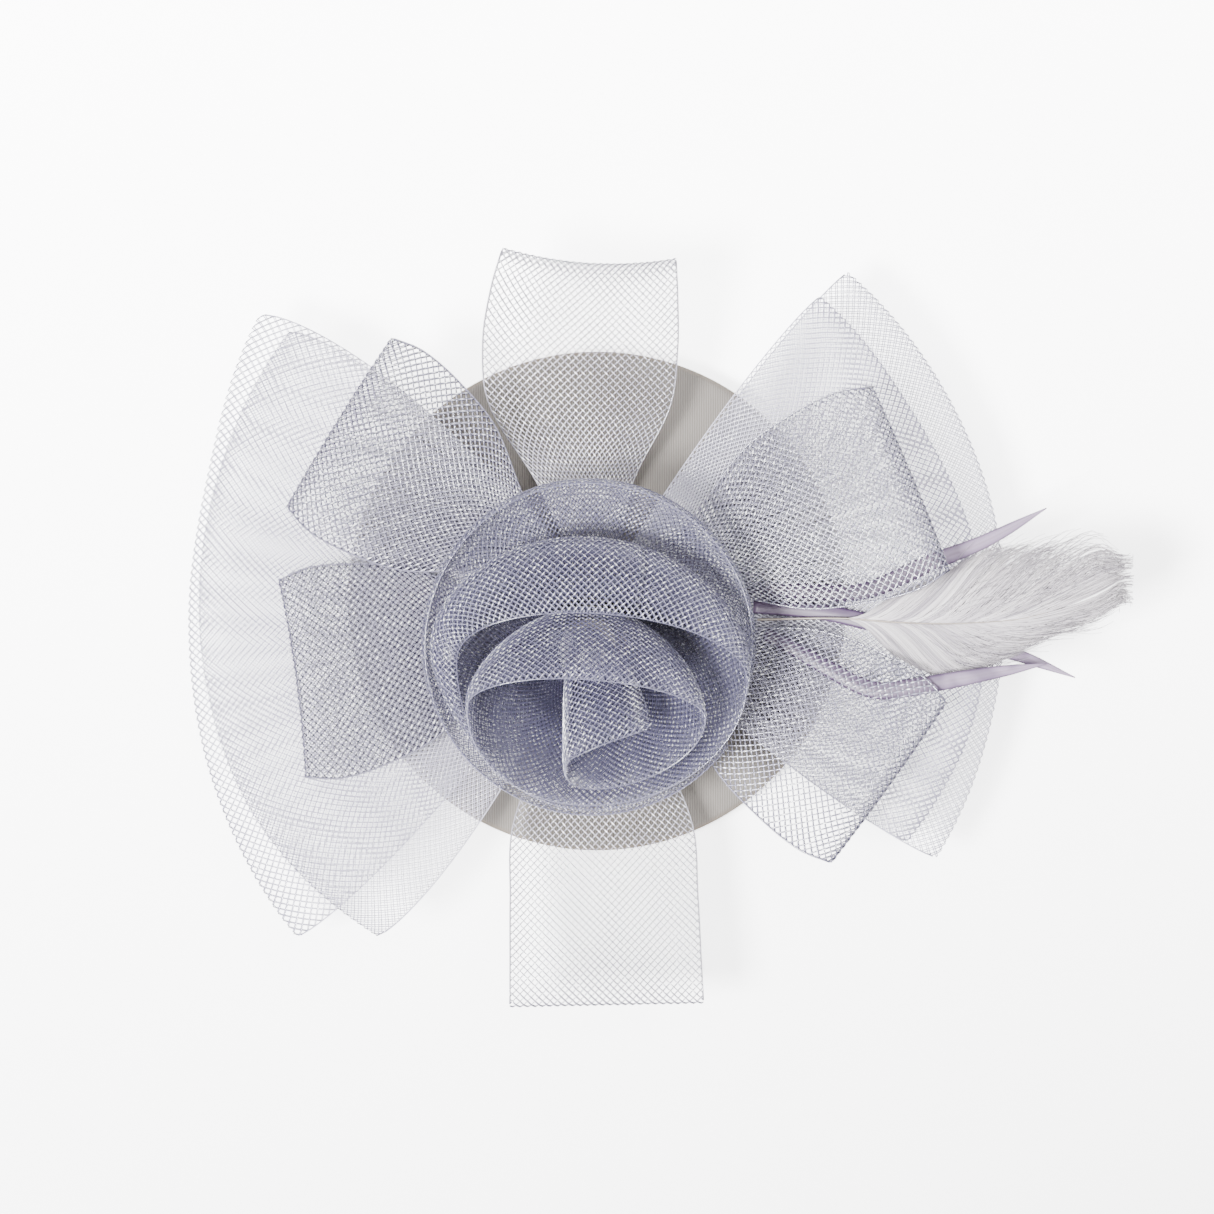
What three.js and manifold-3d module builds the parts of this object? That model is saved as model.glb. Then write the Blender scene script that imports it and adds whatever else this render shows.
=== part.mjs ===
// A crin fascinator, lying face up on the rim of its round base.
// The base carries a plain hair clip underneath. On top of it are stitched, from below upward, four wide
// folded wings, six narrow folded loops, feathers and a rose wound from a folded strip.
// Millimetres, +Z up, +Y toward the top loop. Headings are in degrees, counterclockwise from +X.
import * as THREE from 'three';
import { mergeVertices } from 'three/addons/utils/BufferGeometryUtils.js';
import Module from 'manifold-3d';

// Cloth and the space between pieces
const CRIN_WALL = 1;
const SEAM_GAP = 0.5;
const WIDE_CRIN = 160;
const NARROW_CRIN = 50;

// Base and clip
const BASE_DIAMETER = 130;
const BASE_HEIGHT = 12;
const BASE_CROWN = 3;
const BASE_WALL = 2.2;
const BASE_SHOULDER = 2.6;
const CLIP_LENGTH = 48;
const CLIP_WIDTH = 10;
const CLIP_PLATE = 1.6;
const CLIP_JAW = 2.4;
const CLIP_JAW_MARGIN = 3;

// Wings and loops
const WING_REACH = 100;
const LOOP_REACH = 100;
const WING_ROOT_RADIUS = 11;
const LOOP_ROOT_RADIUS = 12;
const WING_PUFF = 1.5;
const WING_GATHER = 0.5;
const WING_GATHERS = 5;
const LOOP_ARCH = 1.2;

// Rose
const ROSE_RADIUS = 41.5;
const ROSE_HEIGHT = 35;
const ROSE_WALL = 1.2;
const ROSE_CENTRE = { x: -1.4, y: -11.7 };
const ROSE_FOOT_START = 3.5;
const ROSE_FOOT_PITCH = 3.3;

// Feathers
const FEATHER_WALL = 0.8;
const FEATHER_REACH = 100;
const BIOT_WIDTH = 3.2;
const HACKLE_LENGTH = 91;
const HACKLE_WIDTH = 32;
const QUILL_WIDTH = 1.4;
const LOCK_WIDTH = 5;
const LOCKS_A_SIDE = 6;

// The height of the middle of each stitched layer, worked up from the top of the base
const LAYER_RISE = 2 * CRIN_WALL + 2 * SEAM_GAP;
const FIRST_LAYER = BASE_HEIGHT + CRIN_WALL + SEAM_GAP * 1.5;
const layerHeight = (layer) => FIRST_LAYER + layer * LAYER_RISE;
const FEATHER_HEIGHT = layerHeight(1) + LAYER_RISE / 2;
const ROSE_FOOT_HEIGHT = layerHeight(2) + LAYER_RISE / 2 + LOOP_ARCH + 1.5 * SEAM_GAP;

// Each wing: the way it points, its reach to the middle of the fold as a share of WING_REACH, how far the
// net is drawn out across the fold, its layer in the stack, the height of its fold over its own layer in
// the same shares, and how far its first and last side flare out beyond straight spokes.
const WINGS = [
  { name: 'wing_left_outer', heading: 184, reach: 1.05, give: 1.01, layer: 0, lift: 0.05,
    first: 0.3, last: 0.16 },
  { name: 'wing_left_inner', heading: 187.8, reach: 1.01, give: 1.075, layer: 1, lift: 0.12,
    first: 0.24, last: 0.2 },
  { name: 'wing_right_outer', heading: 7.8, reach: 1.045, give: 1.02, layer: 0, lift: 0.05,
    first: 0.13, last: 0.11 },
  { name: 'wing_right_inner', heading: 8, reach: 0.97, give: 0.965, layer: 1, lift: 0.1,
    first: 0.12, last: 0.11 },
];

// The fold of each wing: its reach as a share of the wing's, from one side (-1) to the other (1)
const WING_FOLDS = {
  wing_left_outer: [
    { across: -1, reach: 1.08 },
    { across: -0.5, reach: 1.0 },
    { across: 0, reach: 1.0 },
    { across: 0.5, reach: 1.04 },
    { across: 1, reach: 1.1 },
  ],
  wing_left_inner: [
    { across: -1, reach: 1.025 },
    { across: -0.5, reach: 1.0 },
    { across: 0, reach: 1.0 },
    { across: 0.5, reach: 1.015 },
    { across: 1, reach: 1.005 },
  ],
  wing_right_outer: [
    { across: -1, reach: 1.045 },
    { across: -0.5, reach: 1.01 },
    { across: 0, reach: 1.0 },
    { across: 0.5, reach: 0.998 },
    { across: 1, reach: 1.015 },
  ],
  wing_right_inner: [
    { across: -1, reach: 1.03 },
    { across: -0.5, reach: 1.035 },
    { across: 0, reach: 1.0 },
    { across: 0.5, reach: 0.965 },
    { across: 1, reach: 0.99 },
  ],
};

// Each narrow loop: the way it points and, in shares of LOOP_REACH, its reach to the fold, the fold's skew
// and bow, how far it sways to its left on the way, the height of its fold over its layer, how far its two
// layers open and the roll of its two sides. It also has its layer in the stack and its column of widths.
const LOOPS = [
  { name: 'loop_top', heading: 91.2, reach: 0.875, skew: 0.018, bow: -0.025, sway: 0.034,
    layer: 0, lift: 0.2, puff: 0.026, roll: 0, shape: 'splayed' },
  { name: 'loop_upper_left', heading: 145.2, reach: 0.785, skew: -0.017, bow: 0.005, sway: 0,
    layer: 2, lift: 0.18, puff: 0.026, roll: 0.04, shape: 'gathered' },
  { name: 'loop_left', heading: 194.3, reach: 0.791, skew: 0.027, bow: -0.01, sway: 0.015,
    layer: 2, lift: 0.14, puff: 0.026, roll: 0.015, shape: 'gathered' },
  { name: 'loop_bottom', heading: 271.4, reach: 1.029, skew: 0.001, bow: 0, sway: 0,
    layer: 0, lift: 0.11, puff: 0.026, roll: 0, shape: 'flat' },
  { name: 'loop_lower_right', heading: 328.2, reach: 0.864, skew: 0.018, bow: 0.005, sway: 0.01,
    layer: 2, lift: 0.16, puff: 0.034, roll: -0.01, shape: 'gathered' },
  { name: 'loop_right', heading: 21.3, reach: 0.845, skew: -0.004, bow: 0.005, sway: 0.005,
    layer: 2, lift: 0.18, puff: 0.026, roll: -0.02, shape: 'gathered' },
];

// The width of a narrow loop on its way out, as a share of the crin's width
const LOOP_WIDTHS = [
  { out: 0, gathered: 0.2, splayed: 0.24, flat: 0.24 },
  { out: 0.25, gathered: 0.42, splayed: 0.5, flat: 0.56 },
  { out: 0.5, gathered: 0.86, splayed: 0.92, flat: 0.92 },
  { out: 0.7, gathered: 1.02, splayed: 0.99, flat: 0.96 },
  { out: 0.88, gathered: 1.07, splayed: 0.94, flat: 0.975 },
  { out: 1, gathered: 0.99, splayed: 0.87, flat: 0.985 },
];

// The rose, a row for each half turn from the core out. The rim is an oval, in shares of the rose's radius:
// its half width, its reach to the far and the near side, and the place of its widest line. Its height is
// a share of the rose's, and tip is how much higher its far side stands. Over, side and under are how far
// the wall swells outward between foot and rim at the far side, the flanks and the near side, and sag is
// the height of that swell as a share of the rim's.
const ROSE_TURNS = [
  { turn: 0, wide: 0.26, far: 0.04, near: 0.2, x: 0.11, y: -0.46, z: 0.8, tip: 0.1, over: 0.1, side: 0.03,
    under: 0, sag: 0.6 },
  { turn: 0.5, wide: 0.25, far: 0.05, near: 0.2, x: 0.11, y: -0.67, z: 0.78, tip: 0.13, over: 0.1, side: 0.02,
    under: 0, sag: 0.55 },
  { turn: 1, wide: 0.62, far: 0.15, near: 0.36, x: 0.06, y: -0.44, z: 0.8, tip: 0.2, over: 0.2, side: 0.08,
    under: 0, sag: 0.55 },
  { turn: 1.5, wide: 0.72, far: 0.24, near: 0.6, x: -0.01, y: -0.33, z: 0.82, tip: 0.24, over: 0.22,
    side: 0.12, under: 0.03, sag: 0.52 },
  { turn: 2, wide: 0.92, far: 0.34, near: 0.75, x: 0.01, y: -0.2, z: 0.74, tip: 0.26, over: 0.38, side: 0.17,
    under: 0.05, sag: 0.55 },
  { turn: 2.5, wide: 0.95, far: 0.4, near: 0.9, x: 0, y: -0.08, z: 0.68, tip: 0.25, over: 0.42, side: 0.2,
    under: 0.07, sag: 0.54 },
  { turn: 3, wide: 0.97, far: 0.9, near: 0.98, x: 0, y: 0, z: 0.52, tip: 0.14, over: 0.22, side: 0.18,
    under: 0.1, sag: 0.5 },
  { turn: 3.5, wide: 1, far: 1, near: 1.01, x: 0, y: 0, z: 0.46, tip: 0.12, over: 0.2, side: 0.18,
    under: 0.1, sag: 0.5 },
  { turn: 3.9, wide: 1.015, far: 1.01, near: 1.02, x: 0, y: 0, z: 0.44, tip: 0.12, over: 0.2, side: 0.18,
    under: 0.1, sag: 0.5 },
];
const ROSE_LAST_TURN = ROSE_TURNS[ROSE_TURNS.length - 1].turn;

// The feathers leave the stack between the wings and the loops on the right. Each stripped feather follows
// a few chosen places, in shares of FEATHER_REACH, its height counted from the seam they leave.
const BIOTS = [
  { name: 'biot_lower', route: [[0.43, -0.084, 0.0535], [0.48, -0.11, 0.0665], [0.55, -0.15, 0.0885],
    [0.61, -0.185, 0.1055], [0.66, -0.212, 0.1185], [0.71, -0.227, 0.1295], [0.76, -0.224, 0.1375],
    [0.82, -0.214, 0.1465], [0.97, -0.186, 0.1615], [1.13, -0.158, 0.1715]] },
  { name: 'biot_upper', route: [[0.38, 0.015, 0.0285], [0.5, 0.026, 0.0445], [0.63, 0.02, 0.0645],
    [0.7, 0.03, 0.0785], [0.84, 0.094, 0.1005], [0.98, 0.15, 0.1145], [1.136, 0.234, 0.1275]] },
  { name: 'biot_under', route: [[0.4, -0.016, 0.0295], [0.58, -0.03, 0.0515], [0.76, -0.07, 0.0785],
    [0.92, -0.1, 0.1015], [1.06, -0.136, 0.1105], [1.21, -0.194, 0.1175]] },
];
const BIOT_WIDTHS = [
  { along: 0, width: 0.4 },
  { along: 0.3, width: 0.75 },
  { along: 0.6, width: 1 },
  { along: 0.85, width: 0.8 },
  { along: 1, width: 0.08 },
];

// The hackle: where its quill starts, how far the quill has risen and bent sideways on its way, as shares
// of its length, and how far the vane reaches to its left and right, as shares of its width.
const HACKLE_START = [0.41, -0.048, 0.0385];
const HACKLE_ROWS = [
  { along: 0, bend: 0, rise: 0, left: 0.02, right: 0.02 },
  { along: 0.2, bend: -0.006, rise: 0.034, left: 0.03, right: 0.03 },
  { along: 0.36, bend: -0.012, rise: 0.057, left: 0.16, right: 0.22 },
  { along: 0.48, bend: -0.014, rise: 0.073, left: 0.34, right: 0.44 },
  { along: 0.58, bend: -0.006, rise: 0.088, left: 0.44, right: 0.39 },
  { along: 0.7, bend: 0.014, rise: 0.102, left: 0.48, right: 0.3 },
  { along: 0.85, bend: 0.04, rise: 0.114, left: 0.49, right: 0.26 },
  { along: 1, bend: 0.056, rise: 0.12, left: 0.26, right: 0.1 },
];

// Each lock of the hackle starts on the quill and leans out along it: where it starts and its length, as
// shares of the hackle's length, and its lean away from the quill in degrees.
const FIRST_LOCK = 0.4;
const LOCK_SPACING = 0.07;
const LOCK_LENGTH = 0.32;
const FIRST_LEAN = 36;
const LAST_LEAN = 8;

// Stations along a folded layer, from the stitched end (1) to the fold (0)
const FOLD_STATIONS = [1, 0.8, 0.6, 0.42, 0.27, 0.15, 0.07, 0.025];
const FOLD_ROUNDNESS = 0.03;
const FOLD_OPENING = 16;

const crinMaterial = new THREE.MeshStandardMaterial({ color: 0xc9cbdc, roughness: 0.4, metalness: 0 });
const roseMaterial = new THREE.MeshStandardMaterial({ color: 0xa9adc6, roughness: 0.4, metalness: 0 });
const baseMaterial = new THREE.MeshStandardMaterial({ color: 0xc4c2bc, roughness: 0.9, metalness: 0 });
const clipMaterial = new THREE.MeshStandardMaterial({ color: 0xb9babd, roughness: 0.35, metalness: 1 });
const hackleMaterial = new THREE.MeshStandardMaterial({ color: 0xdcdce0, roughness: 0.8, metalness: 0 });
const biotMaterial = new THREE.MeshStandardMaterial({ color: 0x9b8fa6, roughness: 0.6, metalness: 0 });

const wasm = await Module();
wasm.setup();

const fascinator = new THREE.Group();

function add(name, geometry, material) {
  const mesh = new THREE.Mesh(geometry, material);
  mesh.name = name;
  fascinator.add(mesh);
  return mesh;
}

// A smooth curve through one column of a table, read at any place between its first and last row
function read(rows, by, column, at) {
  const last = rows.length - 1;
  let i = 0;
  while (i < last - 1 && at > rows[i + 1][by]) i += 1;
  const slope = (k) => {
    const before = rows[Math.max(k - 1, 0)];
    const after = rows[Math.min(k + 1, last)];
    return (after[column] - before[column]) / (after[by] - before[by]);
  };
  const step = rows[i + 1][by] - rows[i][by];
  const t = (at - rows[i][by]) / step;
  const start = (1 + 2 * t) * (1 - t) ** 2 * rows[i][column] + t * (1 - t) ** 2 * step * slope(i);
  const end = t ** 2 * (3 - 2 * t) * rows[i + 1][column] + t ** 2 * (t - 1) * step * slope(i + 1);
  return start + end;
}

// The unit normal of a surface given as a function of two places on it
function normalAt(surface, u, v, uRange, vRange) {
  const delta = 0.002;
  const uStep = delta * (uRange[1] - uRange[0]);
  const vStep = delta * (vRange[1] - vRange[0]);
  const u0 = Math.max(u - uStep, uRange[0]);
  const u1 = Math.min(u + uStep, uRange[1]);
  const v0 = Math.max(v - vStep, vRange[0]);
  const v1 = Math.min(v + vStep, vRange[1]);
  const along = surface(u1, v).sub(surface(u0, v));
  const across = surface(u, v1).sub(surface(u, v0));
  return along.cross(across).normalize();
}

// A wall of cloth: a surface given even thickness, closed round its four edges
function clothWall(surface, us, vs, thickness) {
  const uRange = [us[0], us[us.length - 1]];
  const vRange = [vs[0], vs[vs.length - 1]];
  const positions = [];
  for (const side of [0.5, -0.5]) {
    for (const u of us) {
      for (const v of vs) {
        const normal = normalAt(surface, u, v, uRange, vRange);
        const point = surface(u, v).addScaledVector(normal, side * thickness);
        positions.push(point.x, point.y, point.z);
      }
    }
  }
  const rows = us.length;
  const columns = vs.length;
  const id = (back, i, j) => (back * rows + i) * columns + j;
  const triangles = [];
  const quad = (a, b, c, d) => triangles.push(a, b, c, a, c, d);
  for (let i = 0; i < rows - 1; i += 1) {
    for (let j = 0; j < columns - 1; j += 1) {
      quad(id(0, i, j), id(0, i + 1, j), id(0, i + 1, j + 1), id(0, i, j + 1));
      quad(id(1, i, j), id(1, i, j + 1), id(1, i + 1, j + 1), id(1, i + 1, j));
    }
    quad(id(0, i, 0), id(1, i, 0), id(1, i + 1, 0), id(0, i + 1, 0));
    quad(id(0, i + 1, columns - 1), id(1, i + 1, columns - 1), id(1, i, columns - 1), id(0, i, columns - 1));
  }
  for (let j = 0; j < columns - 1; j += 1) {
    quad(id(0, 0, j + 1), id(1, 0, j + 1), id(1, 0, j), id(0, 0, j));
    quad(id(0, rows - 1, j), id(1, rows - 1, j), id(1, rows - 1, j + 1), id(0, rows - 1, j + 1));
  }
  const geometry = new THREE.BufferGeometry();
  geometry.setAttribute('position', new THREE.Float32BufferAttribute(positions, 3));
  geometry.setIndex(triangles);
  geometry.computeVertexNormals();
  return geometry;
}

function evenly(from, to, steps) {
  return Array.from({ length: steps + 1 }, (unused, i) => from + ((to - from) * i) / steps);
}

// A strip folded over at its outer end. Its path runs from -1, the stitched end of the lower layer,
// through 0, the fold, to 1, the stitched end of the upper layer.
function foldedStrip(plan, height, puff) {
  const seat = (CRIN_WALL + SEAM_GAP) / 2;
  const bend = (a) => Math.sqrt(a * a + FOLD_ROUNDNESS ** 2) - FOLD_ROUNDNESS;
  return (path, across) => {
    const out = 1 - bend(path) / bend(1);
    const open = puff * (1 - 0.45 * across * across) * (1 - path * path) ** 1.5;
    const layer = open * Math.tanh(FOLD_OPENING * path) + seat * path * Math.abs(path);
    const place = plan(out, across);
    return new THREE.Vector3(place.x, place.y, height(out, across) + layer);
  };
}

const foldPath = [...FOLD_STATIONS.map((s) => -s), 0, ...FOLD_STATIONS.slice().reverse()];

// A wide wing fans out from the middle, its sides nearly straight spokes, its outer fold a curve
function wing({ name, heading, reach, give, layer, lift, first, last }) {
  const far = reach * WING_REACH;
  const spread = (WIDE_CRIN * give) / (2 * far);
  const middle = THREE.MathUtils.degToRad(heading);
  const plan = (out, across) => {
    const foldReach = far * read(WING_FOLDS[name], 'across', 'reach', across);
    const radius = WING_ROOT_RADIUS + (foldReach - WING_ROOT_RADIUS) * out;
    const flare = (first + last + (last - first) * across) / 2;
    const angle = middle + across * spread * (1 + flare * (1 - out) ** 0.65);
    return { x: radius * Math.cos(angle), y: radius * Math.sin(angle) };
  };
  const height = (out, across) => {
    const gather = WING_GATHER * Math.cos(WING_GATHERS * Math.PI * across) * 4 * out * (1 - out);
    return layerHeight(layer) + lift * WING_REACH * out ** 1.4 + gather;
  };
  return clothWall(foldedStrip(plan, height, WING_PUFF), foldPath, evenly(-1, 1, 10), CRIN_WALL);
}

// A narrow loop is gathered where it is stitched and widens to the full crin toward its fold
function loop({ heading, reach, skew, bow, sway, layer, lift, puff, roll, shape }) {
  const angle = THREE.MathUtils.degToRad(heading);
  const plan = (out, across) => {
    const foldReach = (reach + skew * across + bow * (1 - across * across)) * LOOP_REACH;
    const far = LOOP_ROOT_RADIUS + (foldReach - LOOP_ROOT_RADIUS) * out;
    const width = NARROW_CRIN * read(LOOP_WIDTHS, 'out', shape, out);
    const side = (across * width) / 2 + sway * LOOP_REACH * 4 * out * (1 - out);
    return {
      x: far * Math.cos(angle) - side * Math.sin(angle),
      y: far * Math.sin(angle) + side * Math.cos(angle),
    };
  };
  const height = (out, across) => {
    const arch = LOOP_ARCH * (1 - across * across) * 4 * out * (1 - out);
    return layerHeight(layer) + (lift * out ** 1.4 + roll * across * out) * LOOP_REACH + arch;
  };
  return clothWall(foldedStrip(plan, height, puff * LOOP_REACH), foldPath, evenly(-1, 1, 6), CRIN_WALL);
}

// The rose's wall: turn runs round the spiral, up runs from its stitched foot (0) to its rim (1)
function roseSurface(turn, up) {
  const angle = turn * 2 * Math.PI;
  const outward = new THREE.Vector3(Math.cos(angle), Math.sin(angle), 0);
  const value = (column) => read(ROSE_TURNS, 'turn', column, turn);
  const foot = outward.clone().multiplyScalar(ROSE_FOOT_START + ROSE_FOOT_PITCH * turn);
  const isFar = outward.y > 0;
  const rim = new THREE.Vector3(
    (value('x') + value('wide') * outward.x) * ROSE_RADIUS,
    (value('y') + value(isFar ? 'far' : 'near') * outward.y) * ROSE_RADIUS,
    (value('z') + value('tip') * outward.y) * ROSE_HEIGHT,
  );
  const facing = Math.abs(outward.y);
  const swell = value(isFar ? 'over' : 'under') * facing + value('side') * (1 - facing);
  const belly = foot.clone().lerp(rim, 0.55).addScaledVector(outward, swell * ROSE_RADIUS);
  belly.z = rim.z * value('sag');
  const pull = up * (1 - up);
  const point = new THREE.Vector3()
    .addScaledVector(foot, (1 - up) ** 2 - pull)
    .addScaledVector(belly, 4 * pull)
    .addScaledVector(rim, up ** 2 - pull);
  return point.add(new THREE.Vector3(ROSE_CENTRE.x, ROSE_CENTRE.y, ROSE_FOOT_HEIGHT));
}

function rose() {
  const turns = evenly(0, ROSE_LAST_TURN, 78);
  return clothWall(roseSurface, turns, evenly(0, 1, 6), ROSE_WALL);
}

// The base: a shallow round cap with a soft shoulder, open underneath, standing on its rim
function base() {
  const radius = BASE_DIAMETER / 2;
  const crownAt = (r, top) => top - BASE_CROWN * (r / radius) ** 2;
  const profile = [];
  const inner = radius - BASE_WALL;
  for (const share of [0, 0.5, 0.8, 1]) {
    profile.push(new THREE.Vector2(inner * share, crownAt(inner * share, BASE_HEIGHT - BASE_WALL)));
  }
  profile.push(new THREE.Vector2(inner, 0));
  profile.push(new THREE.Vector2(radius, 0));
  const shoulderTop = crownAt(radius - BASE_SHOULDER, BASE_HEIGHT);
  for (const angle of evenly(0, Math.PI / 2, 3)) {
    const r = radius - BASE_SHOULDER * (1 - Math.cos(angle));
    profile.push(new THREE.Vector2(r, shoulderTop - BASE_SHOULDER * (1 - Math.sin(angle))));
  }
  for (const share of [0.8, 0.5, 0]) {
    profile.push(new THREE.Vector2(radius * share, crownAt(radius * share, BASE_HEIGHT)));
  }
  const cap = new THREE.LatheGeometry(profile, 48);
  cap.rotateX(Math.PI / 2);
  return weld(cap);
}

// Vertices that lie on each other become one, so that the skin is closed
function weld(geometry) {
  geometry.deleteAttribute('normal');
  geometry.deleteAttribute('uv');
  const welded = mergeVertices(geometry, 1e-4);
  const index = welded.getIndex().array;
  const kept = [];
  for (let k = 0; k < index.length; k += 3) {
    const [a, b, c] = [index[k], index[k + 1], index[k + 2]];
    if (a !== b && b !== c && c !== a) kept.push(a, b, c);
  }
  welded.setIndex(kept);
  welded.computeVertexNormals();
  return welded;
}

function toManifold(geometry) {
  const welded = weld(geometry);
  return new wasm.Manifold(new wasm.Mesh({
    numProp: 3,
    vertProperties: new Float32Array(welded.getAttribute('position').array),
    triVerts: new Uint32Array(welded.getIndex().array),
  }));
}

function fuse(geometries) {
  const body = geometries.map(toManifold).reduce((whole, piece) => whole.add(piece));
  const mesh = body.getMesh();
  const geometry = new THREE.BufferGeometry();
  geometry.setAttribute('position', new THREE.Float32BufferAttribute(mesh.vertProperties, 3));
  geometry.setIndex(Array.from(mesh.triVerts));
  geometry.computeVertexNormals();
  return geometry;
}

// The clip: a flat plate with a narrower jaw under it
function clip() {
  const reach = CLIP_LENGTH / 2;
  const plateTop = BASE_HEIGHT - BASE_WALL - BASE_CROWN * (reach / (BASE_DIAMETER / 2)) ** 2 - SEAM_GAP;
  const plate = new THREE.BoxGeometry(CLIP_LENGTH, CLIP_WIDTH, CLIP_PLATE);
  plate.translate(0, 0, plateTop - CLIP_PLATE / 2);
  const jawLength = CLIP_LENGTH - 2 * CLIP_JAW_MARGIN;
  const jaw = new THREE.BoxGeometry(jawLength, CLIP_WIDTH - CLIP_JAW_MARGIN, CLIP_JAW);
  jaw.translate(0, 0, plateTop - CLIP_PLATE - CLIP_JAW / 2 + 0.01);
  return fuse([plate, jaw]);
}

// A flat blade along a route, its width read from a column of a table as a share of the widest
function blade(route, rows, width, steps) {
  const surface = (along, across) => {
    const half = (width * read(rows, 'along', 'width', along)) / 2;
    const point = route.getPoint(along);
    const heading = route.getTangent(along).setZ(0).normalize();
    return point.add(new THREE.Vector3(-heading.y, heading.x, 0).multiplyScalar(across * half));
  };
  return clothWall(surface, evenly(0, 1, steps), [-1, 1], FEATHER_WALL);
}

function featherPlace([x, y, z]) {
  return new THREE.Vector3(x * FEATHER_REACH, y * FEATHER_REACH, z * FEATHER_REACH + FEATHER_HEIGHT);
}

function biot({ route }) {
  const places = route.map(featherPlace);
  return blade(new THREE.CatmullRomCurve3(places), BIOT_WIDTHS, BIOT_WIDTH, 22);
}

function hacklePoint(along, across) {
  const value = (column) => read(HACKLE_ROWS, 'along', column, along);
  const side = across * HACKLE_WIDTH * value(across > 0 ? 'left' : 'right');
  const out = new THREE.Vector3(along, value('bend'), value('rise')).multiplyScalar(HACKLE_LENGTH);
  out.y += side;
  return featherPlace(HACKLE_START).add(out);
}

// The hackle: a leaf of barbs on its quill, with locks that run past the leaf's edge, fused into one
function hackle() {
  const leaf = clothWall(hacklePoint, evenly(0, 1, 14), evenly(-1, 1, 2), FEATHER_WALL);
  const quillRows = [
    { along: 0, width: 1 },
    { along: 0.6, width: 0.8 },
    { along: 1, width: 0.3 },
  ];
  const quillRoute = new THREE.CatmullRomCurve3(evenly(0, 0.95, 8).map((along) => hacklePoint(along, 0)));
  const pieces = [leaf, blade(quillRoute, quillRows, QUILL_WIDTH, 8)];
  const lockRows = [
    { along: 0, width: 0.4 },
    { along: 0.55, width: 1 },
    { along: 1, width: 0.06 },
  ];
  for (const side of [-1, 1]) {
    for (let k = 0; k < LOCKS_A_SIDE; k += 1) {
      const from = FIRST_LOCK + k * LOCK_SPACING;
      const lean = FIRST_LEAN + ((LAST_LEAN - FIRST_LEAN) * k) / (LOCKS_A_SIDE - 1);
      const start = hacklePoint(from, 0);
      const heading = THREE.MathUtils.degToRad(side * lean);
      const length = Math.min(LOCK_LENGTH, 1.02 - from) * HACKLE_LENGTH;
      const places = evenly(0, 1, 3).map((share) => new THREE.Vector3(
        start.x + share * length * Math.cos(heading * (1 - 0.25 * share)),
        start.y + share * length * Math.sin(heading * (1 - 0.25 * share)),
        hacklePoint(Math.min(from + (share * length) / HACKLE_LENGTH, 1), 0).z,
      ));
      pieces.push(blade(new THREE.CatmullRomCurve3(places), lockRows, LOCK_WIDTH, 4));
    }
  }
  return fuse(pieces);
}

add('base_disc', base(), baseMaterial);
add('clip', clip(), clipMaterial);
for (const row of WINGS) add(row.name, wing(row), crinMaterial);
for (const row of LOOPS) add(row.name, loop(row), crinMaterial);
for (const row of BIOTS) add(row.name, biot(row), biotMaterial);
add('hackle', hackle(), hackleMaterial);
add('rose', rose(), roseMaterial);

// The middle of the footprint, on the surface it rests on, becomes the origin
const box = new THREE.Box3().setFromObject(fascinator);
const middle = box.getCenter(new THREE.Vector3()).setZ(box.min.z);
for (const mesh of fascinator.children) mesh.geometry.translate(-middle.x, -middle.y, -middle.z);

export default fascinator;
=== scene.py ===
# A crin fascinator seen from straight above: a round ribbed base, folded net wings and loops, a rose wound
# from a folded net strip, one fluffy hackle feather and three stripped feathers.
# Lengths are in millimetres until they reach a mesh, where they become metres.
import math

import bpy
import numpy as np
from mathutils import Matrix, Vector


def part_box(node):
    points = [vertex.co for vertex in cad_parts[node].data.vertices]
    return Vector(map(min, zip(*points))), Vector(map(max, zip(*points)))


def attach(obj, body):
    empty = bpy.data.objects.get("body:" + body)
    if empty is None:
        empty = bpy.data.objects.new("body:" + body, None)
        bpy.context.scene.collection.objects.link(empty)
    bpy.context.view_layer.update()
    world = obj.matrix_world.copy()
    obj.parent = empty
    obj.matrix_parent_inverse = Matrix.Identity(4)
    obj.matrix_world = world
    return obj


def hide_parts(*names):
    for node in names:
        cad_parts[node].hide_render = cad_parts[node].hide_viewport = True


MM = 0.001

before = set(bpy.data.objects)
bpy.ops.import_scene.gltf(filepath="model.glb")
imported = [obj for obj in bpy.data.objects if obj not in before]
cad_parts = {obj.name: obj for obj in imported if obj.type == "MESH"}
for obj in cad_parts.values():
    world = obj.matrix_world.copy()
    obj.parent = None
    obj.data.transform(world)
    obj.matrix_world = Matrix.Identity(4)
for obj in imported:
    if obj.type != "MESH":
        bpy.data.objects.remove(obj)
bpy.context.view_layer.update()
base_low, base_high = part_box("base_disc")
CENTRE = np.array([(base_low.x + base_high.x) / 2, (base_low.y + base_high.y) / 2, 0.0])

# The sizes of the model, as in its source
CRIN_WALL = 1.0
SEAM_GAP = 0.5
WIDE_CRIN = 160
NARROW_CRIN = 50
BASE_RADIUS = 65
BASE_HEIGHT = 12
BASE_CROWN = 3
BASE_SHOULDER = 2.6
WING_ROOT = 11
LOOP_ROOT = 12
WING_PUFF = 1.5
WING_GATHER = 0.5
WING_GATHERS = 5
LOOP_ARCH = 1.2
ROSE_RADIUS = 41.5
ROSE_HEIGHT = 35
ROSE_CENTRE = (-1.4, -11.7)
ROSE_FOOT_START = 3.5
ROSE_FOOT_PITCH = 3.3
ROSE_STRIP = 80
HACKLE_LENGTH = 91
HACKLE_WIDTH = 32
FOLD_ROUNDNESS = 0.03
FOLD_OPENING = 16
PUFF_FALL = 0.45
PUFF_POWER = 1.5
LIFT_POWER = 1.4
FLARE_POWER = 0.65
ROSE_BELLY = 0.55
LAYER_RISE = 2 * CRIN_WALL + 2 * SEAM_GAP
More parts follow.
